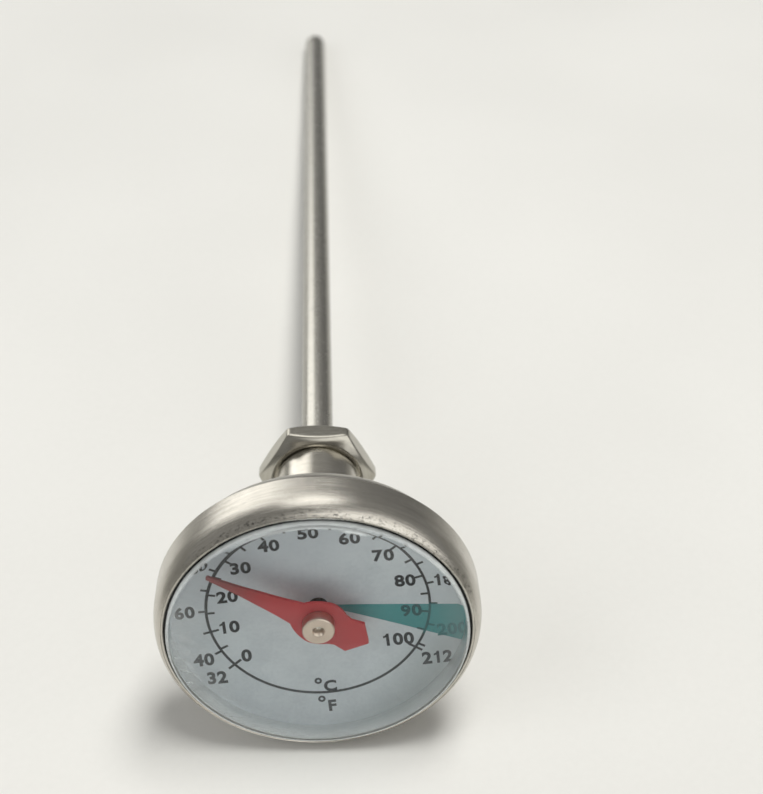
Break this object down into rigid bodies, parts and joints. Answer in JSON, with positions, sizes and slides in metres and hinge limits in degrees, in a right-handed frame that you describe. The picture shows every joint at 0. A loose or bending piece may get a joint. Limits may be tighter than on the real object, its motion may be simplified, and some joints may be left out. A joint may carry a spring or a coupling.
{
  "type": "dial thermometer",
  "caption": "Dial thermometer: round crimped steel head with domed lens, printed dial and red pointer, neck with a hexagon recalibration nut, and a long slim stem with a rounded closed tip.",
  "frame": {"origin": "on the stem axis, at the hexagon nut's stem-side face: the plane the insertion length is measured from", "axes": "+Y along the stem towards its tip, so the dial faces -Y; +Z towards the dial's twelve o'clock; +X to the right of the dial as it is read"},
  "size_m": [0.045, 0.2197, 0.045],
  "materials": {
    "ring_steel": "polished and lightly brushed round the ring",
    "case_steel": "fine turned",
    "nut_steel": "machined flats, bright chamfers",
    "stem_steel": "drawn tube, polished",
    "bright_ring": "bright",
    "lens_glass": "clear",
    "black_rubber": "matt",
    "dial_paint": "satin blue-grey enamel with dark printing",
    "pointer_red": "satin red paint",
    "hub_metal": "turned, pale copper tone",
    "brass": "turned",
    "bimetal": "rolled strip"
  },
  "bodies": {
    "head": {"bezel_ring": "ring_steel", "case_cup": "case_steel", "lens": "lens_glass", "lens_gasket": "black_rubber", "spacer_ring": "bright_ring", "dial_plate": "dial_paint", "dial_seat_ring": "case_steel", "neck_sleeve": "case_steel", "neck_bush": "brass", "neck_o_ring": "black_rubber"},
    "stem": {"calibration_nut": "nut_steel", "friction_washer": "brass", "retaining_clip": "bright_ring", "stem_tube": "stem_steel", "coil_anchor_plug": "brass", "top_shaft_bush": "brass", "middle_shaft_guide": "brass", "lower_shaft_guide": "brass", "bimetal_coil": "bimetal"},
    "pointer": {"pointer_shaft": "bright_ring", "coil_collar": "brass", "pointer_blade": "pointer_red", "pointer_hub": "hub_metal"}
  },
  "joints": [
    {"name": "calibration_turn", "type": "hinge", "parent": "head", "child": "stem", "pos_m": [0, 0, 0], "axis": [0, 1, 0], "continuous": true},
    {"name": "pointer_sweep", "type": "hinge", "parent": "stem", "child": "pointer", "pos_m": [0, 0, 0], "axis": [0, 1, 0], "range_deg": [-71, 180.6], "stiffness_Nm_per_rad": 0.00005, "deforming": ["bimetal_coil"]}
  ]
}
